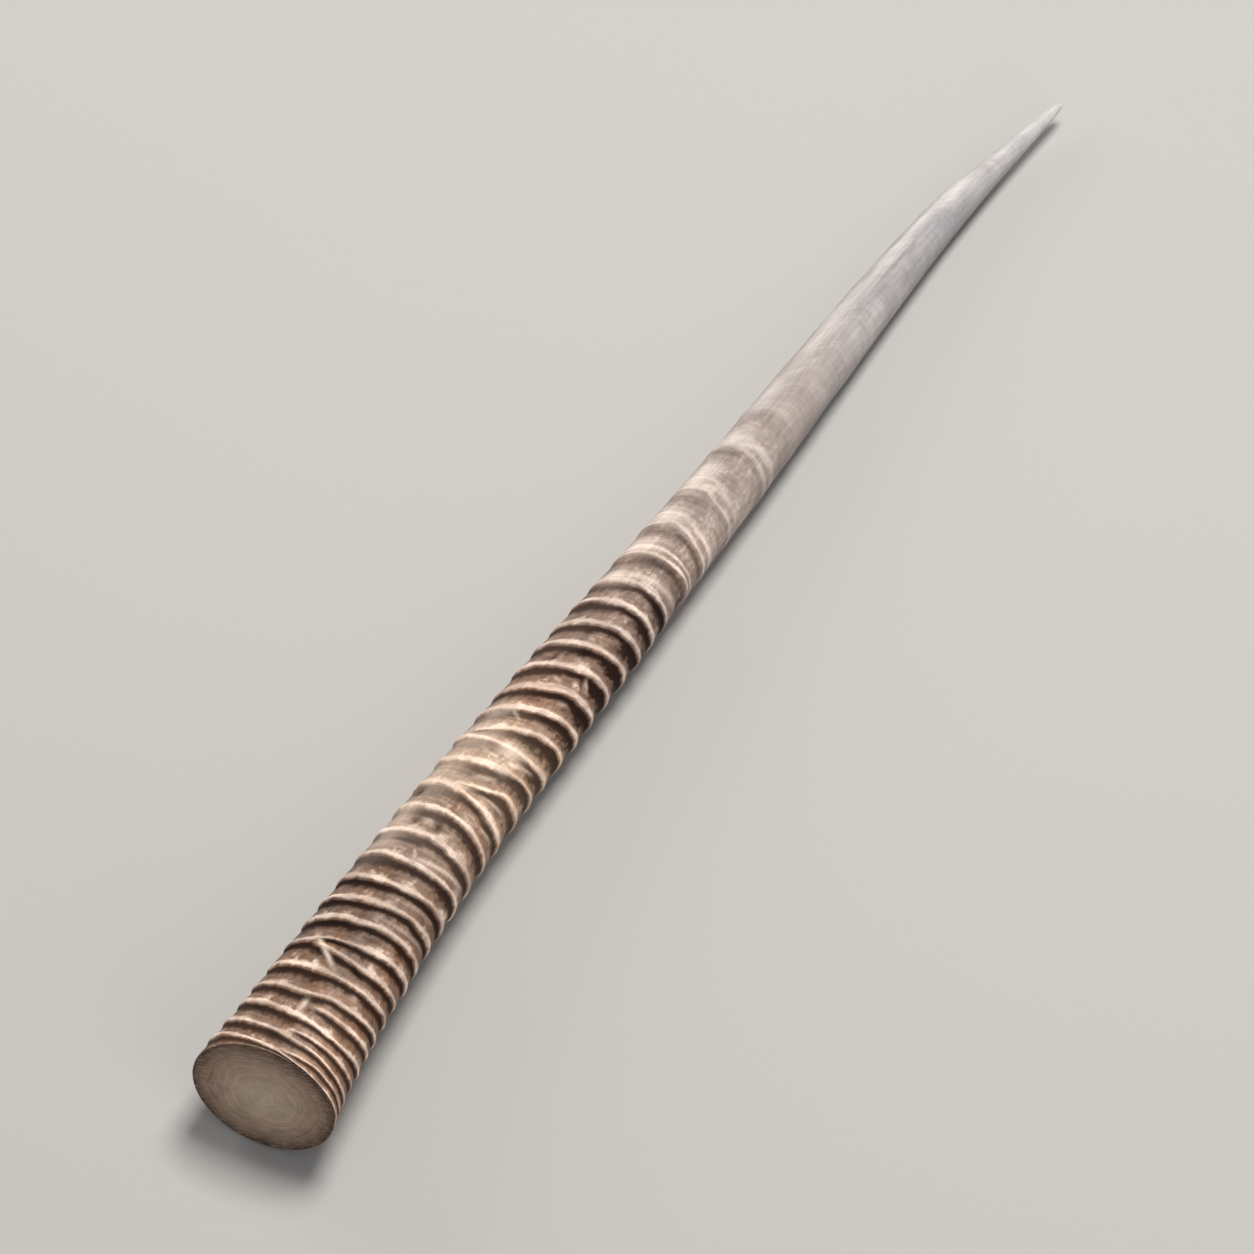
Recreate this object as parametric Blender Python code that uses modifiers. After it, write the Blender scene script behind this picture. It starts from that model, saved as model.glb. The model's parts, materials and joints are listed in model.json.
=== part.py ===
"""A gemsbok's left horn, cut off flat at its base, lying on its side on the ground.

The horn is one solid: a slender spike, gently bowed, ringed over its lower two thirds and smooth
towards the point. It is turned as a smooth spike along +X, its rings are raised and leaned, and it
is then bowed and laid down. Metres throughout, +Z up.

In the horn's own section +Y is the outer side of the bow, -Y the inner side, and +Z the side that
faces up as it lies.
"""

import bisect
import math

import bpy
from mathutils import Matrix, Vector

# The spike
HORN_LENGTH = 0.600  # straight from the cut to the point
TAPER = (0.0516, -0.0291, 0.0195, 0.0041)  # width in powers of the root of the share left to the point
FLARE_WIDTH = 0.0108  # added at the cut, where the horn spreads
FLARE_REACH = 0.045  # how fast that flare dies away
SECTION_DEPTH = 0.94  # thickness from top to bottom, as a share of the width
BOW = (0.0859, -0.0744, -0.1733, 0.3131)  # how far it stands out of line, in powers of the way along

# The rings, counted from the cut: how far along the axis a ring is, and how steeply its plane leans
# along the horn, towards the outer side and upwards
RINGS = (
    (0.0079, 0.21, -0.14),
    (0.0175, 0.21, -0.15),
    (0.0292, 0.18, -0.22),
    (0.0417, 0.04, -0.28),
    (0.0521, 0.04, -0.25),
    (0.0669, -0.11, -0.25),
    (0.0778, -0.09, -0.21),
    (0.0888, -0.08, -0.18),
    (0.1000, -0.04, -0.15),
    (0.1118, -0.02, -0.10),
    (0.1241, -0.03, -0.01),
    (0.1370, 0.02, 0.02),
    (0.1504, 0.11, -0.02),
    (0.1691, -0.09, -0.18),
    (0.1810, -0.06, -0.21),
    (0.2000, -0.34, -0.26),
    (0.2119, -0.38, -0.23),
    (0.2247, -0.34, -0.17),
    (0.2374, -0.30, -0.13),
    (0.2496, -0.30, -0.11),
    (0.2619, -0.26, -0.04),
    (0.2737, -0.19, 0.02),
    (0.2893, -0.23, 0.08),
    (0.3060, -0.08, 0.20),
    (0.3267, -0.05, 0.26),
    (0.3546, -0.07, 0.28),
    (0.3796, -0.15, 0.31),
)
SAWN_OFF_RING = -0.0035  # the ring before the first one, which the cut took away
RING_HEIGHT = 0.00105  # from the bottom of a groove to the crest beside it
BASE_RING_HEIGHT = 0.00080
HIGH_FROM = 0.060  # the rings have their full height from here
FADE_FROM = 0.245  # lose it from here
FAINT_FROM = 0.315  # and are only faint from here
FAINT_HEIGHT = 0.00025
GROOVE_SHARE = 0.25  # how much of that height is cut into the spike, and not raised on it

# One ring: how far on towards the next crest, and how high the surface is there. The side that faces
# the cut is a steep step, and the side that faces the point a long slope.
RING_FORM = ((0.0, 1.0), (0.15, 0.55), (0.48, 0.25), (0.74, 0.0), (1.0, 1.0))

# After these rings, the inner side has one ring more than the outer side
FORKED_RINGS = (0, 1, 2, 4, 12, 14)
FORK_HEIGHT = 0.8  # as a share of the other rings' height
FORK_EDGE = -0.2  # it begins here, where 1 is the middle of the inner side and -1 of the outer
FORK_FULL = 0.6  # and is whole from here

# Near the point, the outer side is worn flatter
WORN_FROM = 0.523
WORN_FULL = 0.556
WORN_EASES = 0.570  # it gets less from here, up to the point
WORN_DEPTH = 0.0017
WORN_SIDE = 30.0  # the angle round the horn of its deepest line, in degrees

# How finely it is made
SLIVER = 1e-6  # less than this is rounding
SIDES = 32
SHARP_ANGLE = 40
RING_STATIONS = (0.0, 0.15, 0.48, 0.74)
FORK_STATIONS = (0.0, 0.075, 0.24, 0.37, 0.5, 0.575, 0.74, 0.87)
POINT_STATIONS = 15

# How it lies, in degrees: turned on its own axis until it is steady, and sloping down to the point
REST_ROLL = -18.9
REST_PITCH = 1.77

HORN_COLOUR = (0.27, 0.20, 0.16, 1.0)
HORN_ROUGHNESS = 0.55


def smooth(start, end, value):
    """0 before start, 1 after end, and an even S between them."""
    share = min(max((value - start) / (end - start), 0.0), 1.0)
    return share * share * (3.0 - 2.0 * share)


def spike_width(along):
    """The width of the spike under its rings, at a place along it."""
    root = math.sqrt(max(1.0 - along / HORN_LENGTH, 0.0))
    taper = sum(share * root ** (power + 1) for power, share in enumerate(TAPER))
    return taper + FLARE_WIDTH * math.exp(-along / FLARE_REACH)


def bow_height(along):
    """How far the horn's axis stands out of line, towards its outer side."""
    way = along / HORN_LENGTH
    return way * (1.0 - way) * sum(share * way**power for power, share in enumerate(BOW))


def ring_height(along):
    """How high the rings are, from groove to crest, at a place along the horn."""
    height = BASE_RING_HEIGHT + (RING_HEIGHT - BASE_RING_HEIGHT) * smooth(0.0, HIGH_FROM, along)
    return height + (FAINT_HEIGHT - height) * smooth(FADE_FROM, FAINT_FROM, along)


def ring_form(way):
    """0 in the groove and 1 on the crest, this share of the way from one crest to the next."""
    for (start, low), (end, high) in zip(RING_FORM, RING_FORM[1:]):
        if way <= end:
            return low + (high - low) * (way - start) / (end - start)
    return RING_FORM[-1][1]


PLACES = [SAWN_OFF_RING] + [place for place, outer, up in RINGS]


def worn(along, angle):
    """How much is worn off the outer side near the point."""
    reach = smooth(WORN_FROM, WORN_FULL, along) * (1.0 - smooth(WORN_EASES, HORN_LENGTH, along))
    return WORN_DEPTH * reach * smooth(-0.1, 1.0, math.cos(angle - math.radians(WORN_SIDE)))


def relief(along, angle):
    """How far the surface stands out of the spike, at a place along the horn and an angle round it."""
    ring = bisect.bisect_right(PLACES, along + SLIVER) - 1
    if ring >= len(PLACES) - 1:
        return -worn(along, angle)
    way = (along - PLACES[ring]) / (PLACES[ring + 1] - PLACES[ring])
    form = ring_form(way)
    if ring - 1 in FORKED_RINGS:
        forked_form = FORK_HEIGHT * ring_form((2.0 * way + SLIVER) % 1.0)
        form += (forked_form - form) * smooth(FORK_EDGE, FORK_FULL, -math.cos(angle))
    return ring_height(along) * (form - GROOVE_SHARE)


def stations():
    """The places along the horn that have a circle of points, from the point back to the cut."""
    places = [0.0]
    for ring, (start, end) in enumerate(zip(PLACES, PLACES[1:])):
        for way in FORK_STATIONS if ring - 1 in FORKED_RINGS else RING_STATIONS:
            place = start + (end - start) * way
            if place > 0.0:
                places.append(place)
    smooth_part = HORN_LENGTH - PLACES[-1]
    for step in range(POINT_STATIONS):
        places.append(PLACES[-1] + smooth_part * math.sin(math.pi / 2 * step / POINT_STATIONS))
    return reversed(places)


def turned_spike():
    """A smooth spike turned about the X axis, closed at the point and flat at the cut."""
    profile = [(HORN_LENGTH, 0.0, 0.0)]
    profile += [(along, spike_width(along) / 2, 0.0) for along in stations()]
    profile.append((0.0, 0.0, 0.0))
    mesh = bpy.data.meshes.new("horn")
    mesh.from_pydata(profile, [(i, i + 1) for i in range(len(profile) - 1)], [])
    spike = bpy.data.objects.new("horn", mesh)
    horn_collection.objects.link(spike)
    screw = spike.modifiers.new("turn", "SCREW")
    screw.axis = "X"
    screw.steps = screw.render_steps = SIDES
    screw.use_merge_vertices = True
    screw.merge_threshold = 1e-6
    turned = bpy.data.meshes.new_from_object(spike.evaluated_get(bpy.context.evaluated_depsgraph_get()))
    spike.modifiers.clear()
    spike.data = turned
    bpy.data.meshes.remove(mesh)
    return spike


def raise_rings(mesh):
    """Raises the rings, cuts the grooves between them, and makes the section oval."""
    for vertex in mesh.vertices:
        along, y, z = vertex.co
        radius = math.hypot(y, z)
        angle = math.atan2(z, y)
        if radius > 0.0:
            radius += relief(along, angle)
        vertex.co = (along, radius * math.cos(angle), radius * math.sin(angle) * SECTION_DEPTH)


def lean(along, y, z):
    """How much further along the horn a point of a leaning ring is than on a square one."""
    before = (0.0, 0.0, 0.0)  # the cut is square
    for ring in RINGS:
        if along < ring[0]:
            share = (along - before[0]) / (ring[0] - before[0])
            return sum(
                (low + (high - low) * share) * aside
                for low, high, aside in zip(before[1:], ring[1:], (y, z))
            )
        before = ring
    return before[1] * y + before[2] * z


def bow(mesh):
    """Leans the rings, and bends the spike sideways with each section square to the bent axis."""
    for vertex in mesh.vertices:
        along, y, z = vertex.co
        rise = bow_height(along + SLIVER) - bow_height(along - SLIVER)
        turn = math.atan(rise / (2.0 * SLIVER))
        ahead = lean(along, y, z)
        x = along + ahead * math.cos(turn) - y * math.sin(turn)
        vertex.co = (x, bow_height(along) + ahead * math.sin(turn) + y * math.cos(turn), z)


def lay_down(horn):
    """Turns the horn as it lies, and puts the middle of the ground that it covers at the origin."""
    roll = Matrix.Rotation(math.radians(REST_ROLL), 4, "X")
    pitch = Matrix.Rotation(math.radians(REST_PITCH), 4, "Y")
    horn.matrix_world = pitch @ roll
    corners = [horn.matrix_world @ vertex.co for vertex in horn.data.vertices]
    low = Vector([min(corner[axis] for corner in corners) for axis in range(3)])
    high = Vector([max(corner[axis] for corner in corners) for axis in range(3)])
    horn.location = (-(low.x + high.x) / 2, -(low.y + high.y) / 2, -low.z)


def horn_material():
    """Brown-grey keratin, dull but not dry."""
    material = bpy.data.materials.new("horn keratin")
    material.use_nodes = True
    shader = material.node_tree.nodes["Principled BSDF"]
    shader.inputs["Base Color"].default_value = HORN_COLOUR
    shader.inputs["Roughness"].default_value = HORN_ROUGHNESS
    shader.inputs["Metallic"].default_value = 0.0
    return material


for old in list(bpy.data.objects):
    bpy.data.objects.remove(old)

horn_collection = bpy.data.collections.new("gemsbok horn")
bpy.context.scene.collection.children.link(horn_collection)

horn = turned_spike()
raise_rings(horn.data)
bow(horn.data)
lay_down(horn)
horn.data.materials.append(horn_material())
horn.data.shade_smooth()
horn.data.set_sharp_from_angle(angle=math.radians(SHARP_ANGLE))
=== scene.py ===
# %% [markdown]
# # A gemsbok's horn
#
# This lesson models one horn of a gemsbok, lying on its side. The horn is a long slender spike of
# keratin, the stuff of nails and hooves. It grew from its base, a little each day, and each ring on it
# marks a new start. So three things have to look right: the slow bow and taper of the whole, the
# rings with their steep and their gentle side, and the way in which colour follows both of them.
#
# The measured model comes first. It is fixed, and everything here is fitted to it.

# %% Load the measured model
import json
import math

import bpy
import numpy as np
from mathutils import Matrix, Quaternion, Vector, noise


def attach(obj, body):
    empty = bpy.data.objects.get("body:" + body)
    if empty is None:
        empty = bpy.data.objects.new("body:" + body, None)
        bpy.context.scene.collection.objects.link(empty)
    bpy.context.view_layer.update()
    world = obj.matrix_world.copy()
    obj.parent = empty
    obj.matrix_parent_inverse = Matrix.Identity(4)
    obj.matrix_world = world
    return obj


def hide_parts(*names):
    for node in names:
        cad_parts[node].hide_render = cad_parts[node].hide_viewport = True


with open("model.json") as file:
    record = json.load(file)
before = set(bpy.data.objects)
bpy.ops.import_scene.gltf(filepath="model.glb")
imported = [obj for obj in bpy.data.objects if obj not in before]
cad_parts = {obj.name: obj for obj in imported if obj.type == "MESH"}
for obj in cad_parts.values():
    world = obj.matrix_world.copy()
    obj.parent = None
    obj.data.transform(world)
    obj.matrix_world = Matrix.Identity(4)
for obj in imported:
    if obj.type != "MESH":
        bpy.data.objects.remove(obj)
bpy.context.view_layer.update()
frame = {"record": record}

cut_mount = next(mount for mount in frame["record"]["mounts"] if mount["name"] == "cut_base")
CUT_CENTRE = Vector(cut_mount["pos_m"])
print("The middle of its cut base is at", tuple(CUT_CENTRE))

# %% [markdown]
# ## The horn's measures
#
# The horn is made straight first, along the X axis: its cut base at x = 0, its point at x = 0.6, the
# outer side of its bow towards +Y, and +Z on the side that will face up. A place on it is then just
# two numbers, how far along and what angle round. Bending comes last, because rings, grain and flaws
# are all much easier to place on a straight horn.
#
# All measures are in metres, and they are those of the measured model. Angles round the horn are in
# degrees: 0 is the outer side, 90 faces up, 180 is the inner side and 270 lies on the ground.

# %% The spike
HORN_LENGTH = 0.600
TAPER = (0.0516, -0.0291, 0.0195, 0.0041)  # width in powers of the root of the share left to the point
FLARE_WIDTH = 0.0108  # added at the cut, where the horn spreads
FLARE_REACH = 0.045  # how fast that flare dies away
SECTION_DEPTH = 0.94  # thickness from top to bottom, as a share of the width
BOW = (0.0859, -0.0744, -0.1733, 0.3131)  # how far it stands out of line, in powers of the way along
REST_ROLL = math.radians(-18.9)
REST_PITCH = math.radians(1.77)


def smooth(start, end, value):
    """0 before start, 1 after end, and an even S between them."""
    share = np.clip((value - start) / (end - start), 0.0, 1.0)
    return share * share * (3.0 - 2.0 * share)


def spike_width(along):
    """The width of the spike under its rings."""
    root = np.sqrt(np.clip(1.0 - along / HORN_LENGTH, 0.0, 1.0))
    taper = sum(share * root ** (power + 1) for power, share in enumerate(TAPER))
    return taper + FLARE_WIDTH * np.exp(-along / FLARE_REACH)


def bow_height(along):
    """How far the horn's axis stands out of line, towards its outer side."""
    way = along / HORN_LENGTH
    return way * (1.0 - way) * sum(share * way**power for power, share in enumerate(BOW))


print("Widths at the cut, the middle and near the point:", spike_width(np.array([0.0, 0.3, 0.58])))

# %% [markdown]
# ## Where the rings are
#
# No rule gives the places of real rings: a good season's stands far from the last, and a poor one's
# close to it. So they are a list, read off the photograph ring by ring. Each ring also leans in its own
# way. Near the base its upper side sits back towards the cut, further on its inner side is ahead, and
# the faint rings at the end lean far over.
#
# In six places the inner side has one ring more than the outer side, so a ring forks there.

# %% The rings
RINGS = (
    # how far along, and how far its plane leans towards the outer side and upwards
    (0.0079, 0.21, -0.14),
    (0.0175, 0.21, -0.15),
    (0.0292, 0.18, -0.22),
    (0.0417, 0.04, -0.28),
    (0.0521, 0.04, -0.25),
    (0.0669, -0.11, -0.25),
    (0.0778, -0.09, -0.21),
    (0.0888, -0.08, -0.18),
    (0.1000, -0.04, -0.15),
    (0.1118, -0.02, -0.10),
    (0.1241, -0.03, -0.01),
    (0.1370, 0.02, 0.02),
    (0.1504, 0.11, -0.02),
    (0.1691, -0.09, -0.18),
    (0.1810, -0.06, -0.21),
    (0.2000, -0.34, -0.26),
    (0.2119, -0.38, -0.23),
    (0.2247, -0.34, -0.17),
    (0.2374, -0.30, -0.13),
    (0.2496, -0.30, -0.11),
    (0.2619, -0.26, -0.04),
    (0.2737, -0.19, 0.02),
    (0.2893, -0.23, 0.08),
    (0.3060, -0.08, 0.20),
    (0.3267, -0.05, 0.26),
    (0.3546, -0.07, 0.28),
    (0.3796, -0.15, 0.31),
)
SAWN_OFF_RING = -0.0035  # the ring before the first one, which the cut took away
FORKS = (
    # the ring before it, and then how the extra crest runs, from its start to its end: the angle, and
    # how far on it is towards the next ring
    (0, ((112, 0.14), (130, 0.34), (150, 0.50), (215, 0.50), (262, 0.20))),
    (1, ((110, 0.28), (135, 0.46), (155, 0.52), (228, 0.50), (268, 0.82))),
    (2, ((114, 0.50), (128, 0.58), (222, 0.56), (256, 0.84))),
    (4, ((78, 0.88), (108, 0.66), (130, 0.53), (160, 0.48), (228, 0.48), (272, 0.86))),
    (12, ((102, 0.10), (116, 0.24), (128, 0.33), (139, 0.42), (149, 0.53), (162, 0.58), (236, 0.52),
          (285, 0.16))),
    (14, ((58, 0.13), (95, 0.32), (120, 0.46), (150, 0.53), (220, 0.52), (262, 0.14))),
)
RING_HEIGHT = 0.00105  # from the bottom of a groove to the crest beside it
BASE_RING_HEIGHT = 0.00080
HIGH_FROM = 0.060  # the rings have their full height from here
FADE_FROM = 0.245  # lose it from here
FAINT_FROM = 0.315  # and are only faint from here
FAINT_HEIGHT = 0.00025
PLACES = np.array([SAWN_OFF_RING] + [place for place, outer, up in RINGS])
LAST_RING = PLACES[-1]
FORKED = [row[0] + 1 for row in FORKS]  # counted as in PLACES


def ring_height(along):
    """How high the rings are, from groove to crest."""
    height = BASE_RING_HEIGHT + (RING_HEIGHT - BASE_RING_HEIGHT) * smooth(0.0, HIGH_FROM, along)
    return height + (FAINT_HEIGHT - height) * smooth(FADE_FROM, FAINT_FROM, along)


def lean(along, y, z):
    """How much further along the horn a point of a leaning ring is than on a square one."""
    places, outer, up = np.array(((0.0, 0.0, 0.0),) + RINGS).T
    return np.interp(along, places, outer) * y + np.interp(along, places, up) * z


print(len(RINGS), "rings,", len(FORKS), "of them forked, the last", RINGS[-1][0], "m from the cut")

# %% [markdown]
# ## The straight spike
#
# A horn is round, so it is drawn as half a profile and spun about its axis, as on a lathe. It could
# also be a cone cut into slices, but then the slices could not crowd together where the detail is.
#
# The profile runs over the sawn face, round its edge, and then along the horn, with eighteen steps
# from each crest to the next, and twice as many where a ring forks. They are closest together at the groove
# and the crest, and one of them is exactly on the crest, so that the crests will be clean lines of the
# mesh. The profile is at the level of the grooves' floors. The rings are raised on it afterwards.

# %% The points of the profile
RING_STEPS = (0.0, 0.03, 0.065, 0.11, 0.16, 0.22, 0.29, 0.37, 0.46)
RING_STEPS += (0.54, 0.61, 0.67, 0.73, 0.78, 0.83, 0.87, 0.91, 0.955)
CUT_CIRCLES = 12
SMOOTH_STEPS = 96
RIM_ROUND = 0.0006  # the cut's edge is rounded by this much
RIM_STEPS = 3
GROOVE_SHARE = 0.25  # how much of a ring's height is cut into the spike, and not raised on it
GROOVES_FROM = 0.002  # they are cut to their full depth from here


def floor_radius(along):
    """The spike's radius at the level of the floors of its grooves."""
    return spike_width(along) / 2 - GROOVE_SHARE * ring_height(along) * smooth(0.0, GROOVES_FROM, along)


def profile_points():
    """The half profile in the XY plane, from the middle of the cut to the point."""
    edge = floor_radius(0.0) - RIM_ROUND
    points = []
    for circle in range(1, CUT_CIRCLES + 1):
        points.append((0.0, edge * math.sin(math.pi / 2 * circle / CUT_CIRCLES)))
    for step in range(1, RIM_STEPS):
        turn = math.pi / 2 * step / RIM_STEPS
        points.append((RIM_ROUND * (1.0 - math.cos(turn)), edge + RIM_ROUND * math.sin(turn)))
    for ring, (start, end) in enumerate(zip(PLACES, PLACES[1:])):
        parts = 2 if ring in FORKED else 1
        for part in range(parts):
            for way in RING_STEPS:
                along = start + (end - start) * (part + way) / parts
                if along > RIM_ROUND:
                    points.append((along, floor_radius(along)))
    smooth_part = HORN_LENGTH - LAST_RING
    for step in range(SMOOTH_STEPS):
        along = LAST_RING + smooth_part * math.sin(math.pi / 2 * step / SMOOTH_STEPS)
        points.append((along, floor_radius(along)))
    points.append((HORN_LENGTH, 0.0))
    return points


profile = profile_points()
print("The profile has", len(profile), "points")

# %% [markdown]
# A new plane is merged into one vertex, which is the middle of the cut. That vertex is extruded from
# point to point of the profile, and the line that it leaves is spun all the way round. The spin ends
# where it began, so the doubled vertices there are merged, and the normals are turned outwards.

# %% Draw the profile and spin it
SIDES = 128
MERGE_CLOSER = 1e-6

bpy.ops.object.select_all(action="DESELECT")
bpy.ops.mesh.primitive_plane_add(size=0.01, location=(0.0, 0.0, 0.0))
horn = bpy.context.object
horn.name = "ringed_horn"
bpy.ops.object.mode_set(mode="EDIT")
bpy.ops.mesh.merge(type="CENTER")
here = (0.0, 0.0)
for there in profile:
    step = (there[0] - here[0], there[1] - here[1], 0.0)
    bpy.ops.mesh.extrude_vertices_move(TRANSFORM_OT_translate={"value": step})
    here = there
bpy.ops.mesh.select_all(action="SELECT")
bpy.ops.mesh.spin(steps=SIDES, angle=2 * math.pi, center=(0.0, 0.0, 0.0), axis=(1.0, 0.0, 0.0))
bpy.ops.mesh.select_all(action="SELECT")
bpy.ops.mesh.remove_doubles(threshold=MERGE_CLOSER)
bpy.ops.mesh.normals_make_consistent(inside=False)
bpy.ops.object.mode_set(mode="OBJECT")
print("The spun spike has", len(horn.data.vertices), "vertices")

# %% [markdown]
# ## How the rings run
#
# A lathe's rings are perfect circles, and these are not. The circles of the mesh are slid a little
# along the horn. For that, every vertex first gets its place on the straight horn: how far along it is,
# at what angle, between which two rings, and how far on it is from the one to the other.

# %% Where each vertex is
points = np.empty(len(horn.data.vertices) * 3)
horn.data.vertices.foreach_get("co", points)
straight = points.reshape(-1, 3).copy()
along = straight[:, 0]  # a view of that column, so it follows when the circles are slid
radius = np.hypot(straight[:, 1], straight[:, 2])
angle = np.arctan2(straight[:, 2], straight[:, 1])
degrees = np.degrees(angle) % 360.0

ring = np.clip(np.searchsorted(PLACES, along + MERGE_CLOSER, side="right") - 1, 0, len(PLACES) - 2)
start, span = PLACES[ring], np.diff(PLACES)[ring]
mesh_way = np.clip((along - start) / span, 0.0, 1.0)  # from one crest to the next
print("The widest gap between two rings is", round(float(span.max()) * 1000, 1), "mm")

# %% [markdown]
# A fork is made by sliding too. Between two rings that fork there are twice as many circles, and the
# middle one of them is the crest of the extra ring. Where the fork starts, it is slid close to the ring
# that it parts from, and further round it stands midway. So a new ring is just a crest that comes out
# of its neighbour, and no faces have to be cut or sewn.

# %% The paths of the forks
FORK_RISES = 18.0  # over how many degrees an extra crest rises, and sinks again
FORK_EASE = 6.0  # and over how many its path is rounded


def swell(places, value):
    """0, then up to 1 between the first two of four places, and down to 0 between the last two."""
    starts, full, fades, gone = places
    return smooth(starts, full, value) * (1.0 - smooth(fades, gone, value))


def rounded_path(path, angles, ease):
    """A path's value at each angle, with its corners rounded over a few degrees."""
    path_angles, path_values = zip(*path)
    eased = [angles + aside for aside in (-ease, 0.0, ease)]
    return sum(np.interp(eased_angles, path_angles, path_values) for eased_angles in eased) / len(eased)


way = mesh_way.copy()  # the same way, as it is on the horn once the circles are slid
fork_way = mesh_way.copy()  # and the same where the extra crest is counted as a ring too
fork_share = np.zeros(len(along))
for ring_before, path in FORKS:
    here = ring == ring_before + 1
    middle = rounded_path(path, degrees[here], FORK_EASE)
    before = 2.0 * middle * mesh_way[here]
    after = middle + (1.0 - middle) * (2.0 * mesh_way[here] - 1.0)
    way[here] = np.where(mesh_way[here] < 0.5, before, after)
    fork_way[here] = 2.0 * mesh_way[here] % 1.0
    first, last = path[0][0], path[-1][0]
    fork_share[here] = swell((first, first + FORK_RISES, last - FORK_RISES, last), degrees[here])
print(int((fork_share > 0.0).sum()), "vertices belong to a fork")

# %% [markdown]
# The rings have kinks of their own too. The larger ones were read off the photograph, ring by ring, and
# a little noise makes every ring waver all the way round. Both die away at the cut, whose edge stays a
# circle.

# %% Slide the circles
STRAYS = (
    # which ring, and how many millimetres further on it is at some angles on the side that faces up
    (1, ((60, -0.8), (125, -0.6), (140, 0.4), (158, 0.1), (180, -0.8))),
    (2, ((60, 0.1), (125, -0.6), (155, -0.8), (185, -0.1))),
    (3, ((65, 0.1), (95, -1.1), (110, -1.3), (125, -0.1), (185, 0.1))),
    (4, ((65, 0.7), (80, -0.1), (150, -0.2), (185, -0.6))),
    (5, ((65, -0.3), (110, -0.6), (140, -0.3), (155, 0.4), (185, 0.0))),
    (6, ((65, -0.1), (110, -0.3), (125, 0.4), (155, 0.1), (185, -0.6))),
    (7, ((65, 0.4), (95, -0.6), (125, -0.3), (140, 0.4), (185, 0.0))),
    (8, ((65, 0.4), (95, -0.6), (125, -0.6), (155, 0.4), (185, 0.4))),
    (9, ((80, -0.1), (110, -1.1), (125, -1.1), (155, -0.6), (185, 0.6))),
    (10, ((65, -0.8), (80, -0.6), (125, 1.1), (136, -0.7), (155, -0.1))),
    (11, ((65, -0.6), (95, 0.1), (140, 0.9), (185, -0.1))),
    (12, ((65, 0.4), (110, 0.9), (130, 0.1), (155, 0.1), (170, -1.0), (185, -0.6))),
    (13, ((65, -0.8), (140, -0.5), (155, 1.5), (185, 1.1))),
    (14, ((65, 1.1), (125, -0.6), (155, -0.1), (185, -0.1))),
    (23, ((62, 0.4), (100, 1.7), (112, 1.6), (140, -0.9), (155, -2.0), (190, -0.8))),
    (24, ((65, 0.9), (95, 1.6), (110, 2.6), (122, -0.5), (140, -0.9), (185, 0.4))),
    (25, ((65, -0.3), (95, 1.4), (125, -0.1), (155, -0.9), (185, -0.6))),
    (26, ((80, -0.1), (110, 2.1), (140, -1.3), (170, 0.6))),
)
STRAY_EASE = 9.0  # over how many degrees such a path is rounded
STRAY_SIDE = (42.0, 60.0, 190.0, 215.0)  # the angles where they begin, are full, fade and end
STRAYS_FADE = 0.03  # how far beyond the last ring the strays are gone
WAVER = 0.0006  # how far the noise takes a ring along the horn
WAVER_SCALE = 60.0
WAVER_SEED = 3.7
KINKS = 0.00022
KINK_SCALE = 170.0
KINK_SEED = 5.2
FREE_FROM = 0.012  # from here the rings waver and stray in full


def noise_at(scale_along, scale_round, seed):
    """Smooth noise from -1 to 1 at each vertex, stretched along the horn as the scales say."""
    places = straight * (scale_along, scale_round, scale_round) + seed
    return np.array([noise.noise(place) for place in places.tolist()])


astray = np.zeros((len(PLACES), len(along)))
for number, path in STRAYS:
    astray[number + 1] = rounded_path(path, degrees, STRAY_EASE)
vertices = np.arange(len(along))
stray = astray[ring, vertices] * (1.0 - mesh_way) + astray[ring + 1, vertices] * mesh_way
wavering = WAVER * noise_at(WAVER_SCALE, WAVER_SCALE, WAVER_SEED)
wavering += KINKS * noise_at(KINK_SCALE, KINK_SCALE, KINK_SEED)
stray_metres = stray / 1000 * swell(STRAY_SIDE, degrees)
wavering += stray_metres * (1.0 - smooth(LAST_RING, LAST_RING + STRAYS_FADE, along))
slide = (way - mesh_way) * span + wavering * smooth(0.0, FREE_FROM, along) * (along < HORN_LENGTH)
straight[:, 0] += slide
horn.data.vertices.foreach_set("co", straight.ravel())
horn.data.update()
print("The circles are slid by up to", round(float(np.abs(slide).max()) * 1000, 2), "mm")

# %% [markdown]
# ## Raising the surface
#
# The surface is raised and cut with Displace modifiers. Each one moves the vertices along their normals
# by the weights of a vertex group, as if the group had been weight-painted. A sculpting brush would do
# too, but weights can be worked out from the rings, and put in place to a tenth of a millimetre.
#
# The first one has a cloud texture that is stretched along the horn, and makes the whole surface a
# little uneven, less so near the point.

# %% Make the surface uneven
UNEVENNESS = 0.0007
UNEVEN_SIZE = 0.011
UNEVEN_STRETCH = 2.6
EDGE_EASE = 0.0015  # the relief is full this far from the cut
SMOOTHER_FROM = 0.40
SMOOTHER_FULL = 0.56
SMOOTHER_BY = 0.6  # the share of the unevenness that is gone there


def select_only(piece):
    """Leaves one object selected and active, and nothing else."""
    bpy.ops.object.select_all(action="DESELECT")
    piece.select_set(True)
    bpy.context.view_layer.objects.active = piece


def weight_group(piece, name, weights):
    """A vertex group with one weight for each vertex."""
    group = piece.vertex_groups.new(name=name)
    for vertex in np.flatnonzero(weights > 0.0).tolist():
        group.add([vertex], float(weights[vertex]), "REPLACE")


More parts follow.
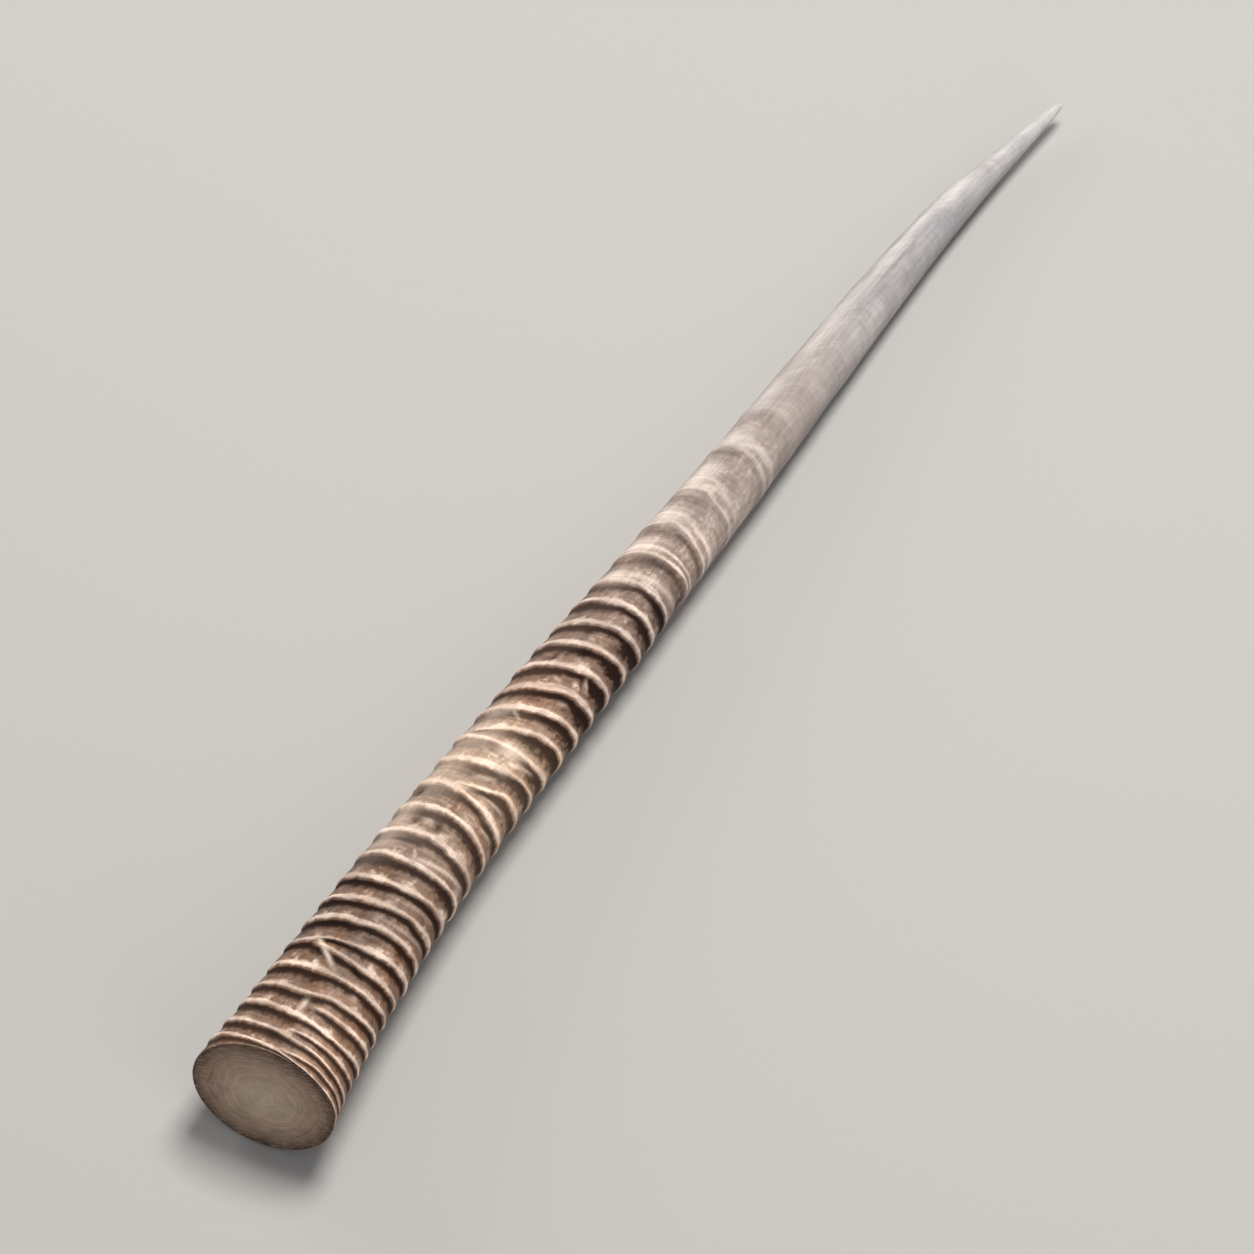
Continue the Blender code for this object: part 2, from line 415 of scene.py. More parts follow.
def displace(piece, group, strength, texture=None, guide=None):
    """Moves the surface along its normals by a vertex group's weights, and applies that."""
    modifier = piece.modifiers.new(group, "DISPLACE")
    modifier.vertex_group = group
    modifier.strength = strength
    modifier.mid_level = 0.0
    if texture:
        modifier.texture = texture
        modifier.mid_level = 0.5
        modifier.texture_coords = "OBJECT"
        modifier.texture_coords_object = guide
    select_only(piece)
    bpy.ops.object.modifier_apply(modifier=modifier.name)


on_side = smooth(0.0, EDGE_EASE, along)
weight_group(horn, "sides", on_side * (1.0 - SMOOTHER_BY * smooth(SMOOTHER_FROM, SMOOTHER_FULL, along)))
unevenness = bpy.data.textures.new("unevenness", "CLOUDS")
unevenness.noise_scale = UNEVEN_SIZE
unevenness.noise_depth = 2
bpy.ops.object.empty_add(location=(0.0, 0.0, 0.0))
stretch = bpy.context.object
stretch.scale = (UNEVEN_STRETCH, 1.0, 1.0)
bpy.context.view_layer.update()
displace(horn, "sides", UNEVENNESS, unevenness, stretch)
bpy.data.objects.remove(stretch)
print("The side is uneven by up to", round(UNEVENNESS * 1000, 2), "mm")

# %% [markdown]
# A ring is steep on the side that faces the base and falls off gently towards the point, because each
# season's keratin comes out from under the last. `RING_FORM` is that shape.

# %% Raise the rings
RING_FORM = (
    # how far on towards the next crest, and how high
    (0.00, 1.00),
    (0.04, 0.93),
    (0.09, 0.73),
    (0.15, 0.55),
    (0.25, 0.43),
    (0.38, 0.33),
    (0.50, 0.22),
    (0.60, 0.08),
    (0.68, 0.01),
    (0.74, 0.00),
    (0.80, 0.14),
    (0.86, 0.46),
    (0.92, 0.84),
    (0.96, 0.97),
    (1.00, 1.00),
)
FORK_HEIGHT = 0.8  # as a share of the other rings' height
HEIGHT_VARIES = 0.22
HEIGHT_SCALES = (70.0, 40.0)  # of that noise, along the horn and round it
HEIGHT_SEED = 1.3
HIGHEST = RING_HEIGHT * (1.0 + HEIGHT_VARIES)


def ring_form(way):
    """0 in the groove and 1 on the crest, this share of the way from one crest to the next."""
    ways, heights = zip(*RING_FORM)
    return np.interp(way, ways, heights)


fork_form = ring_form(fork_way) * (FORK_HEIGHT + (1.0 - FORK_HEIGHT) * np.abs(2.0 * mesh_way - 1.0))
form = ring_form(way) + (fork_form - ring_form(way)) * fork_share
strength = ring_height(along) / RING_HEIGHT * (along < LAST_RING + MERGE_CLOSER)
uneven_rings = 1.0 + HEIGHT_VARIES * noise_at(*HEIGHT_SCALES, HEIGHT_SEED)
weight_group(horn, "rings", form * strength * uneven_rings * on_side * RING_HEIGHT / HIGHEST)
displace(horn, "rings", HIGHEST)
print("Rings up to", round(HIGHEST * 1000, 2), "mm high are raised")

# %% [markdown]
# ## Knocks and growth marks
#
# No horn is flawless. A few chips are broken out of the crests, nodules of keratin sit between the
# rings, thin lines and second crests run beside some of them, and there are a few cracks. Those on the
# side that faces up are where the photograph shows them, and those on the hidden side are given one by
# one. Each is a soft round or long weight, at a place on the straight horn.

# %% Soft spots and thin lines
FAINTEST = 0.01  # weights below this are left out
LINE_ENDS = (-0.15, 0.35, 0.65, 1.15)  # the shares of its length where a line begins, is full, fades, ends


def without_faint(weights):
    """The weights, with 0 where they are too faint to matter."""
    return np.where(weights > FAINTEST, weights, 0.0)


def spots(rows):
    """The weights of soft round spots on the horn's side."""
    weights = np.zeros(len(along))
    for place, where, length, width in rows:
        aside = np.radians((degrees - where + 180.0) % 360.0 - 180.0)
        distance = ((along - place) / length) ** 2 + (aside * radius / width) ** 2
        weights = np.maximum(weights, np.exp(-distance) * on_side)
    return without_faint(weights)


def lines(rows):
    """The weights of thin lines that run part of the way round the horn and fade at both ends."""
    weights = np.zeros(len(along))
    for first, first_angle, last, last_angle, width in rows:
        share = (degrees - first_angle) / (last_angle - first_angle)
        place = first + (last - first) * np.clip(share, 0.0, 1.0)
        across = np.exp(-(((along - place) / width) ** 2))
        weights = np.maximum(weights, swell(LINE_ENDS, share) * across)
    return without_faint(weights)


print("Spots and lines can be placed")

# %% Add the marks
CHIPS = (
    # how far along, where round, how long and how wide
    (0.1300, 118.0, 0.0030, 0.0018),
    (0.1290, 90.0, 0.0022, 0.0030),
    (0.2290, 91.0, 0.0024, 0.0018),
    (0.2330, 124.0, 0.0016, 0.0022),
    (0.1450, 60.0, 0.0026, 0.0028),
    (0.1980, 250.0, 0.0034, 0.0040),
    (0.2330, 318.0, 0.0040, 0.0026),
    (0.1070, 292.0, 0.0030, 0.0040),
    (0.0610, 228.0, 0.0022, 0.0034),
)
NODULES = (
    (0.0350, 112.0, 0.0016, 0.0011),
    (0.0470, 147.0, 0.0012, 0.0012),
    (0.1540, 113.0, 0.0020, 0.0034),
    (0.1300, 104.0, 0.0016, 0.0026),
    (0.1690, 138.0, 0.0022, 0.0024),
    (0.2060, 143.0, 0.0014, 0.0014),
    (0.1330, 214.0, 0.0016, 0.0018),
    (0.0880, 300.0, 0.0013, 0.0018),
    (0.2190, 262.0, 0.0014, 0.0024),
)
LINES = (
    # from how far along and where round, to where, and how broad
    (0.0820, 126.0, 0.0830, 196.0, 0.00100),
    (0.0945, 140.0, 0.0950, 184.0, 0.00080),
    (0.1262, 124.0, 0.1300, 140.0, 0.00080),
    (0.1415, 144.0, 0.1450, 188.0, 0.00090),
    (0.1475, 148.0, 0.1505, 194.0, 0.00090),
    (0.1745, 136.0, 0.1765, 172.0, 0.00090),
    (0.1130, 118.0, 0.1172, 110.0, 0.00080),
    (0.1505, 118.0, 0.1500, 180.0, 0.00120),
    (0.1540, 130.0, 0.1560, 176.0, 0.00080),
    (0.1640, 138.0, 0.1600, 112.0, 0.00110),
    (0.1760, 96.0, 0.1730, 126.0, 0.00100),
    (0.2162, 160.0, 0.2222, 145.0, 0.00110),
    (0.2160, 124.0, 0.2186, 110.0, 0.00100),
    (0.2145, 114.0, 0.2135, 152.0, 0.00090),
    (0.1995, 94.0, 0.1935, 114.0, 0.00080),
    (0.0990, 300.0, 0.1000, 342.0, 0.00080),
    (0.1740, 236.0, 0.1700, 286.0, 0.00080),
    (0.2440, 300.0, 0.2460, 352.0, 0.00080),
)
SECOND_CRESTS = (
    # one that crosses a fork, one beside a strong ring, those beside the faint rings, and the last
    # one at the point
    (0.0700, 76.0, 0.0532, 119.0, 0.00120),
    (0.1132, 118.0, 0.1182, 190.0, 0.00090),
    (0.2766, 76.0, 0.2794, 206.0, 0.00130),
    (0.3086, 132.0, 0.3112, 204.0, 0.00100),
    (0.3300, 92.0, 0.3318, 128.0, 0.00120),
    (0.3560, 96.0, 0.3606, 152.0, 0.00110),
    (0.2790, 250.0, 0.2770, 330.0, 0.00110),
    (0.5488, 84.0, 0.5522, 168.0, 0.00120),
)
CRACKS = (
    (0.0552, 147.0, 0.0592, 125.0, 0.00080),
    (0.2155, 152.0, 0.2205, 141.0, 0.00070),
    (0.1880, 236.0, 0.1900, 262.0, 0.00050),
)
CHIP_DEPTH = 0.0008
NODULE_HEIGHT = 0.0006
LINE_HEIGHT = 0.00025
CRACK_DEPTH = 0.0005

weight_group(horn, "chips", spots(CHIPS))
weight_group(horn, "nodules", spots(NODULES))
weight_group(horn, "lines", np.maximum(lines(LINES), lines(SECOND_CRESTS)))
weight_group(horn, "cracks", lines(CRACKS))
displace(horn, "chips", -CHIP_DEPTH)
displace(horn, "nodules", NODULE_HEIGHT)
displace(horn, "lines", LINE_HEIGHT)
displace(horn, "cracks", -CRACK_DEPTH)
print(len(CHIPS), "chips,", len(NODULES), "nodules and", len(LINES), "thin lines")

# %% [markdown]
# An old horn is also worn. Near the point, years of rubbing have made the outer side flatter.

# %% Wear the outer side flatter
WORN_ALONG = (0.523, 0.556, 0.570, HORN_LENGTH)  # where this begins, is full, gets less and ends
WORN_SIDE = 30.0  # the angle of its deepest line
WORN_EDGE = -0.1  # the cosine of the angle between that line and its edge
WORN_DEPTH = 0.0017

worn_side = smooth(WORN_EDGE, 1.0, np.cos(angle - math.radians(WORN_SIDE)))
weight_group(horn, "worn", swell(WORN_ALONG, along) * worn_side)
displace(horn, "worn", -WORN_DEPTH)
horn.vertex_groups.clear()
print("Up to", WORN_DEPTH * 1000, "mm is worn off")

# %% [markdown]
# ## What the colour will follow
#
# The colour has to know what the shape knows, so it is stored on the mesh now, while the horn is
# still straight. `straight` is each vertex's place on the straight horn, which keeps the grain
# running along the horn once it is bent. `ring_wave` and `fork_wave` say how far it is from one crest
# to the next. They hold that way's cosine and sine, because these are smooth everywhere, also on the
# crest, where the way itself jumps from 1 to 0. Their third number is how strong the rings are, and
# how much of the forked ring there is. The wave runs on a little after the last ring, so that the
# smooth part has no edge there.

# %% Store the straight horn and the waves on the mesh
RUN_ON = 0.3  # how much of a wave follows after the last ring
RUN_ON_LENGTH = 0.05


def store(piece, name, *columns):
    """Puts a vector for each vertex on the mesh, given whole or in columns."""
    attribute = piece.data.attributes.new(name, "FLOAT_VECTOR", "POINT")
    values = np.column_stack(columns).astype(np.float32)
    attribute.data.foreach_set("vector", values.ravel())


def wave(way):
    """The cosine and sine of the way from one crest to the next."""
    return np.column_stack((np.cos(2 * math.pi * way), np.sin(2 * math.pi * way)))


shown_way = way + RUN_ON * smooth(LAST_RING, LAST_RING + RUN_ON_LENGTH, along)
fork_phase = np.where(np.isin(ring, FORKED), fork_way, shown_way)
store(horn, "straight", straight)
store(horn, "ring_wave", wave(shown_way), np.clip(strength, 0.0, 1.0))
store(horn, "fork_wave", wave(fork_phase), fork_share)
print("The waves are stored on", len(along), "vertices")

# %% [markdown]
# ## Spots, streaks and patches
#
# The next marks are painted as one would with a soft brush. Some bring out the crests' pale colour, and
# some darken what is there: bright and dark spots, painted shade in the chips and cracks and under one
# nodule, the dirt and painted shade in the last deep grooves, and fine streaks and swirls on the smooth
# part.

# %% Pale and dark marks
BRIGHT_SPOTS = (
    # like the chips: how far along, where round, how long and how wide
    (0.0348, 112.0, 0.0026, 0.0011),
    (0.1790, 130.0, 0.0030, 0.0050),
)
DARK_SPOTS = (
    (0.0255, 75.0, 0.0018, 0.0032),
    (0.0150, 106.0, 0.0013, 0.0040),
    # painted shadow under the nodule at 0.0348
    (0.0328, 118.0, 0.0015, 0.0010),
    (0.0205, 144.0, 0.0014, 0.0020),
    (0.0740, 84.0, 0.0022, 0.0050),
    (0.0712, 132.0, 0.0022, 0.0028),
    (0.1192, 92.0, 0.0010, 0.0050),
    (0.1330, 92.0, 0.0016, 0.0050),
    # painted shade in the chip at the same place
    (0.1300, 119.0, 0.0026, 0.0012),
    (0.1435, 117.0, 0.0046, 0.0007),
    (0.1640, 108.0, 0.0016, 0.0040),
    (0.2050, 151.0, 0.0014, 0.0022),
    (0.2085, 112.0, 0.0012, 0.0050),
    (0.2325, 118.0, 0.0018, 0.0045),
    (0.2420, 158.0, 0.0030, 0.0040),
    (0.2562, 153.0, 0.0016, 0.0022),
    (0.2860, 112.0, 0.0012, 0.0060),
    (0.0900, 286.0, 0.0020, 0.0040),
    (0.1560, 316.0, 0.0022, 0.0036),
    (0.2140, 242.0, 0.0018, 0.0040),
)
DEEP_DIRT_AND_SHADE = (
    # like the thin lines: dirt and painted shade in the grooves before the last strong rings
    (0.2702, 140.0, 0.2706, 214.0, 0.00170),
    (0.2860, 80.0, 0.2862, 214.0, 0.00170),
    (0.3038, 104.0, 0.3000, 166.0, 0.00140),
    (0.3000, 146.0, 0.3014, 214.0, 0.00140),
    (0.2860, 236.0, 0.2856, 330.0, 0.00160),
)
DARK_STREAKS = (
    (0.4800, 112.0, 0.0120, 0.0009),
    (0.4885, 120.0, 0.0030, 0.0010),
    (0.4500, 262.0, 0.0200, 0.0013),
)
PALE_STREAKS = (
    (0.4740, 104.0, 0.0260, 0.0008),
    (0.4450, 86.0, 0.0600, 0.0030),
    (0.5650, 106.0, 0.0160, 0.0020),
    (0.5250, 88.0, 0.0160, 0.0030),
)
PALE_SWIRLS = (
    (0.4400, 128.0, 0.4550, 94.0, 0.0012),
    (0.4470, 132.0, 0.4560, 160.0, 0.0012),
    (0.4360, 124.0, 0.4380, 160.0, 0.0010),
    (0.4080, 124.0, 0.4180, 88.0, 0.0011),
    (0.4020, 126.0, 0.4010, 160.0, 0.0010),
)
DARK_SWIRLS = (
    (0.4430, 126.0, 0.4530, 96.0, 0.0012),
    (0.4210, 122.0, 0.4130, 96.0, 0.0014),
)
PALE_MARKS = (
    # how strong each kind of mark is, what draws it, and where it is
    (1.0, spots, BRIGHT_SPOTS),
    (1.0, lines, SECOND_CRESTS),
    (0.5, lines, LINES),
    (0.5, spots, NODULES),
    (0.5, spots, PALE_STREAKS),
    (0.4, lines, PALE_SWIRLS),
)
DARK_MARKS = (
    # chips and cracks are painted darker: painted shade in them
    (1.0, spots, CHIPS),
    (1.0, lines, CRACKS),
    (0.7, spots, DARK_SPOTS),
    (0.85, lines, DEEP_DIRT_AND_SHADE),
    (0.35, spots, DARK_STREAKS),
    (0.3, lines, DARK_SWIRLS),
)


def strongest(marks):
    """At each vertex, the strongest of several kinds of mark."""
    return np.maximum.reduce([share * draw(rows) for share, draw, rows in marks])


pale, dark = strongest(PALE_MARKS), strongest(DARK_MARKS)
print(int((pale > 0.0).sum()), "vertices have a pale mark, and", int((dark > 0.0).sum()), "a dark one")

# %% [markdown]
# Then there are patches: smoky ones round the faint rings, painted highlights from there towards the
# point on the upper outer side, a fainter painted sheen before them, and grey ones on the smooth part.
# `marks` holds the pale marks, the dark marks and the grey patches.

# %% Patches
GREYS = (
    (0.4800, 132.0, 0.0340, 0.0095),
    (0.5230, 132.0, 0.0280, 0.0080),
)
SMOKES = (
    (0.2852, 122.0, 0.0016, 0.0090),
    (0.3022, 96.0, 0.0030, 0.0090),
    (0.3222, 100.0, 0.0042, 0.0095),
    (0.3510, 102.0, 0.0034, 0.0085),
    (0.3735, 102.0, 0.0040, 0.0060),
    (0.3160, 126.0, 0.0050, 0.0036),
    (0.3400, 122.0, 0.0060, 0.0034),
    (0.3020, 296.0, 0.0032, 0.0110),
    (0.3240, 280.0, 0.0044, 0.0120),
    (0.3500, 300.0, 0.0036, 0.0100),
)
# painted sheen: a fainter painted highlight on the upper outer side
SHEENS = (
    (0.1180, 68.0, 0.0090, 0.0080),
    (0.1320, 66.0, 0.0120, 0.0090),
    (0.1560, 68.0, 0.0140, 0.0100),
    (0.1830, 72.0, 0.0130, 0.0100),
    (0.1980, 78.0, 0.0050, 0.0060),
)
# painted highlights along the upper outer side, from the faint rings towards the point
BRIGHTS = (
    (0.2760, 78.0, 0.0040, 0.0060),
    (0.2930, 76.0, 0.0042, 0.0075),
    (0.3115, 76.0, 0.0045, 0.0070),
    (0.3360, 76.0, 0.0090, 0.0055),
    (0.3590, 76.0, 0.0052, 0.0055),
    (0.3900, 74.0, 0.0130, 0.0045),
    (0.4300, 78.0, 0.0340, 0.0040),
    (0.4900, 84.0, 0.0340, 0.0027),
    (0.5280, 90.0, 0.0150, 0.0034),
    (0.3900, 346.0, 0.0600, 0.0050),
)
# the painted highlights, with the painted sheen fainter
BRIGHT_PATCHES = (
    (1.0, spots, BRIGHTS),
    (0.35, spots, SHEENS),
)

store(horn, "marks", pale, dark, spots(GREYS))
smoke, bright = spots(SMOKES), strongest(BRIGHT_PATCHES)
print(int((smoke > 0.0).sum()), "vertices are smoky, and", int((bright > 0.0).sum()), "are bright")

# %% [markdown]
# ## Dirt, painted shade and growth lines
#
# How dark the grooves are changes along the horn and round it, with old dirt and with painted shade.
# The outer side rubs against things and the light falls on it, so its grooves get less dirt and less
# painted shade, and on the low inner side dirt and painted shade cover the bands too.
# `stains_shade_and_highlights` holds the smoky patches, the painted highlights, and how much dirt and
# painted shade the grooves hold. `wear_and_shade` holds where dirt and painted shade cover the bands,
# how even the band is between two crests, and where the growth lines run: on the smooth part they lean
# far over.

# %% Store the stains, painted shade and highlights, and the wear and painted shade
DIRT_AND_SHADE_ALONG = (
    # how far along, and how much dirt and painted shade the grooves hold on the outer and on the inner side
    (0.000, 0.86, 0.84),
    (0.035, 0.90, 0.88),
    (0.060, 1.00, 0.95),
    (0.100, 1.00, 0.95),
    (0.118, 0.68, 0.80),
    (0.145, 0.48, 0.80),
    (0.165, 0.35, 0.75),
    (0.185, 0.45, 0.85),
    (0.203, 0.85, 1.00),
    (0.262, 0.80, 1.00),
    (0.280, 0.62, 0.88),
    (0.296, 0.45, 0.60),
    (0.312, 0.12, 0.25),
    (0.340, 0.00, 0.00),
)
GRIME_AND_SHADE_ALONG = (
    # how far along, and how much of the dirt and painted shade covers the bands too, on the low inner side
    (0.100, 0.00),
    (0.150, 0.35),
    (0.172, 0.80),
    (0.200, 1.00),
    (0.262, 1.00),
    (0.290, 0.15),
    (0.320, 0.00),
)
INNER_SIDE = (88.0, 140.0, 240.0, 300.0)  # the angles where a side begins, is full, fades and ends
LOW_INNER_SIDE = (132.0, 172.0, 230.0, 290.0)
EVEN_SIDE = (108.0, 124.0, 148.0, 166.0)
GROWTH_SLANT = 1.0  # how far the growth lines of the smooth part lean on the outer side
GROWTH_TURN = 125.0  # the angle at which they begin to lean
SLANT_FROM = 0.36
SLANT_FULL = 0.41

inner = swell(INNER_SIDE, degrees)
# the grooves' darkness: old dirt and painted shade, with less painted shade on the lit outer side
dirt_and_shade_places, outer_dirt_and_shade, inner_dirt_and_shade = np.array(DIRT_AND_SHADE_ALONG).T
outer_dirt_and_shade = np.interp(along, dirt_and_shade_places, outer_dirt_and_shade)
inner_dirt_and_shade = np.interp(along, dirt_and_shade_places, inner_dirt_and_shade)
groove_dirt_and_shade = outer_dirt_and_shade * (1.0 - inner) + inner_dirt_and_shade * inner
# dirt and painted shade over the bands on the low inner side, which turns away from the light
grime_and_shade = np.interp(along, *np.array(GRIME_AND_SHADE_ALONG).T) * swell(LOW_INNER_SIDE, degrees)
even_side = swell(EVEN_SIDE, degrees)
turned = np.cos(angle) - math.cos(math.radians(GROWTH_TURN))
outwards = np.maximum(turned, 0.0) * radius
growth_place = along + GROWTH_SLANT * outwards * smooth(SLANT_FROM, SLANT_FULL, along)
store(horn, "stains_shade_and_highlights", smoke, bright, groove_dirt_and_shade)
store(horn, "wear_and_shade", grime_and_shade, even_side, growth_place)
# how dark the grooves are painted on average, with dirt and painted shade
print("The grooves are", round(float(groove_dirt_and_shade.mean()) * 100), "% dirty on average")

# %% [markdown]
# ## Leaning, bowing and laying down
#
# The rings are leaned first, and then the whole spike bows in one plane. A Simple Deform modifier
# bends to an even arc only, and this bow is straighter in its middle than at its ends, so these two
# moves are made in code. The oval section is a plain resize of the object, and so is the way it lies:
# it is turned and placed as an object, and that is applied to the mesh.

# %% Lean, bow and lay the horn down
SLIVER = 1e-5  # the slope of the bow is taken between places this far apart
SHARP_ANGLE = math.radians(50.0)


def bow(places):
    """Leans the rings, and bends the spike sideways with each section square to the bent axis."""
    along, y, z = places.T
    turn = np.arctan((bow_height(along + SLIVER) - bow_height(along - SLIVER)) / (2.0 * SLIVER))
    ahead = lean(along, y, z)
    x = along + ahead * np.cos(turn) - y * np.sin(turn)
    return np.column_stack((x, bow_height(along) + ahead * np.sin(turn) + y * np.cos(turn), z))


select_only(horn)
horn.scale = (1.0, 1.0, SECTION_DEPTH)
bpy.ops.object.transform_apply(location=False, rotation=False, scale=True)
horn.data.vertices.foreach_get("co", points)
horn.data.vertices.foreach_set("co", bow(points.reshape(-1, 3)).ravel())
horn.data.update()
roll = Matrix.Rotation(REST_ROLL, 4, "X")
pitch = Matrix.Rotation(REST_PITCH, 4, "Y")
horn.matrix_world = Matrix.Translation(CUT_CENTRE) @ pitch @ roll
bpy.context.view_layer.update()
bpy.ops.object.transform_apply(location=True, rotation=True, scale=True)
bpy.ops.object.shade_smooth_by_angle(angle=SHARP_ANGLE)
lowest = min(vertex.co.z for vertex in horn.data.vertices)
print("The horn's lowest point is", round(lowest * 1000, 2), "mm above the ground")

# %% [markdown]
# ## Keratin
#
# The finish is built from what can be seen close to. The crest of each ring is a thin pale line where
# the horn is rubbed clean. The groove on its base side is dark with old dirt and painted shade, and
# painted shade darkens the band towards it. The band between is brown near the base, greyer further
# on, and silver-grey where the horn is smooth, with a point like old ivory. Painted highlights lie
# along the upper outer side. Fine fibres run lengthwise and fine growth lines run round, parallel to
# the rings.
#
# The two waves' sines and cosines give back the way from one crest to the next, at any fineness, so
# the pale and dark lines are drawn by colour ramps over that, and stay crisp between vertices.


# %% Colours as they are read off a screen
def srgb(red, green, blue):
    """A colour as it is read off a screen, from 0 to 255, made linear."""
    shares = [channel / 255 for channel in (red, green, blue)]
    linear = [s / 12.92 if s <= 0.04045 else ((s + 0.055) / 1.055) ** 2.4 for s in shares]
    return (*linear, 1.0)


print("Middle grey is", round(srgb(128, 128, 128)[0], 3))


# %% Helpers for node trees
class Finish:
    """A material that is built up node by node."""

    def __init__(self, name):
        self.material = bpy.data.materials.new(name)
        self.material.use_nodes = True
        self.tree = self.material.node_tree
        self.shader = self.tree.nodes["Principled BSDF"]

    def connect(self, socket, value):
        """Links a socket to another, or sets it to a plain value."""
        if isinstance(value, bpy.types.NodeSocket):
            self.tree.links.new(value, socket)
        else:
            socket.default_value = value

    def add(self, kind, inputs=(), **settings):
        """A node with its settings and its inputs, which are given by name or number."""
        node = self.tree.nodes.new(kind)
        for name, value in settings.items():
            setattr(node, name, value)
        for name, value in dict(inputs).items():
            self.connect(node.inputs[name], value)
        return node

    def maths(self, operation, *values):
        """The result of a Math node."""
        return self.add("ShaderNodeMath", enumerate(values), operation=operation).outputs[0]

    def times(self, first, *others):
        """Two or more values multiplied together."""
        for other in others:
            first = self.maths("MULTIPLY", first, other)
        return first

    def centred(self, value):
        """A value from 0 to 1, moved to run from -0.5 to 0.5."""
        return self.maths("SUBTRACT", value, 0.5)

    def stored(self, name):
        """The three numbers of a vector that is stored on the mesh."""
        vector = self.add("ShaderNodeAttribute", attribute_name=name).outputs["Vector"]
        split = self.add("ShaderNodeSeparateXYZ", {0: vector})
        return [split.outputs[axis] for axis in "XYZ"]

    def noise(self, vector, scales, detail=3.0, roughness=0.5):
        """A noise texture's value, from 0 to 1, with its own scale along each axis."""
        stretched = self.add("ShaderNodeVectorMath", {0: vector, 1: scales}, operation="MULTIPLY")
        inputs = {"Vector": stretched.outputs[0], "Scale": 1.0, "Detail": detail, "Roughness": roughness}
        return self.add("ShaderNodeTexNoise", inputs).outputs["Fac"]

    def mix(self, share, first, second, blend="MIX"):
        """Two colours mixed."""
        node = self.add("ShaderNodeMix", data_type="RGBA", blend_type=blend)
        sockets = (node.inputs[0], node.inputs[6], node.inputs[7])
        for socket, value in zip(sockets, (share, first, second)):
            self.connect(socket, value)
        return node.outputs[2]

    def toned(self, colour, tone):
        """A colour made lighter or darker by a tone, which is 1 where nothing changes."""
        grey = self.add("ShaderNodeCombineColor", {0: tone, 1: tone, 2: tone})
        return self.mix(1.0, colour, grey.outputs[0], "MULTIPLY")

    def ramp(self, value, stops):
        """A colour ramp. A stop is a place and a colour or, for a plain share, a number."""
        node = self.add("ShaderNodeValToRGB", {0: value})
        elements = node.color_ramp.elements
        while len(elements) < len(stops):
            elements.new(0.5)
        for element, (place, colour) in zip(elements, stops):
            element.position = place
            element.color = colour if isinstance(colour, tuple) else (colour, colour, colour, 1.0)
        return node.outputs["Color"]

    def range(self, value, low, high, new_low=0.0, new_high=1.0):
        """A value moved smoothly from one range to another."""
        inputs = {"Value": value, "From Min": low, "From Max": high, "To Min": new_low, "To Max": new_high}
        node = self.add("ShaderNodeMapRange", inputs, interpolation_type="SMOOTHSTEP")
        return node.outputs["Result"]

    def bump(self, height, distance, strength=1.0, below=None):
        """A bump, on top of another if one is given."""
        node = self.add("ShaderNodeBump", {"Height": height})
        node.inputs["Strength"].default_value = strength
        node.inputs["Distance"].default_value = distance
        if below:
            self.connect(node.inputs["Normal"], below)
        return node.outputs["Normal"]


print("Node helpers are ready")

# %% [markdown]
# ## How rubbed and how shaded each spot is
#
# One number decides between a dark groove, a brown band and a pale crest: how rubbed and how lit the
# horn is. 0 is deep in old dirt and painted shade, about 0.45 is the plain band, and 1 is a clean crest.
# The colours could also be painted straight over the way from crest to crest, but then mottle, grime,
# painted shade and wear would each need colours of their own. So ramps draw the number first, and every
# colour follows it.
#
# There are three such ramps: one for most of the horn, one for the side between about 110 and 165
# degrees, where the band stays even, and one for the faint rings, which have a second pale line close
# behind the first.

# %% From crest to crest
OPEN_LINE = (
    # the way from one crest to the next, and how rubbed and lit the horn is there: 0 deep in dirt and
    # painted shade, 1 clean
    (0.00, 1.00),
    (0.04, 0.91),
    (0.09, 0.73),
    (0.15, 0.59),
    (0.23, 0.50),
    (0.33, 0.43),
    (0.42, 0.34),
    (0.51, 0.22),
    (0.60, 0.09),
    (0.68, 0.01),
    (0.73, 0.00),
    (0.78, 0.05),
    (0.83, 0.24),
    (0.88, 0.58),
    (0.93, 0.90),
    (0.97, 1.00),
    (1.00, 1.00),
)
EVEN_LINE = (
    (0.00, 1.00),
    (0.06, 0.94),
    (0.12, 0.70),
    (0.19, 0.56),
    (0.34, 0.50),
    (0.50, 0.46),
    (0.61, 0.32),
    (0.69, 0.12),
    (0.75, 0.01),
    (0.80, 0.02),
    (0.85, 0.20),
    (0.90, 0.54),
    (0.95, 0.90),
    (1.00, 1.00),
)
SECOND_LINE = (
    (0.00, 1.00),
    (0.03, 0.82),
    (0.07, 0.54),
    (0.13, 0.54),
    (0.18, 0.78),
    (0.215, 0.90),
    (0.25, 0.76),
    (0.31, 0.54),
    (0.50, 0.50),
    (0.72, 0.46),
    (0.86, 0.42),
    (0.93, 0.48),
    (0.965, 0.82),
    (1.00, 1.00),
)
RAGGED_NOISE = ((170.0, 200.0, 200.0), 3.0, 0.6)  # its scales, its detail and its roughness
RAGGED = 0.09  # how far the lines' edges wander, as a share of the way between two crests
SECOND_LINES = (0.80, 0.45)  # how strong the rings are where second lines begin, and where all have one


def way_between(finish, name, ragged):
    """The way from one crest to the next, out of a stored wave, and the wave's third number."""
    cosine, sine, third = finish.stored(name)
    turned = finish.maths("DIVIDE", finish.maths("ARCTAN2", sine, cosine), 2 * math.pi)
    return finish.maths("FRACT", finish.maths("ADD", turned, ragged)), third


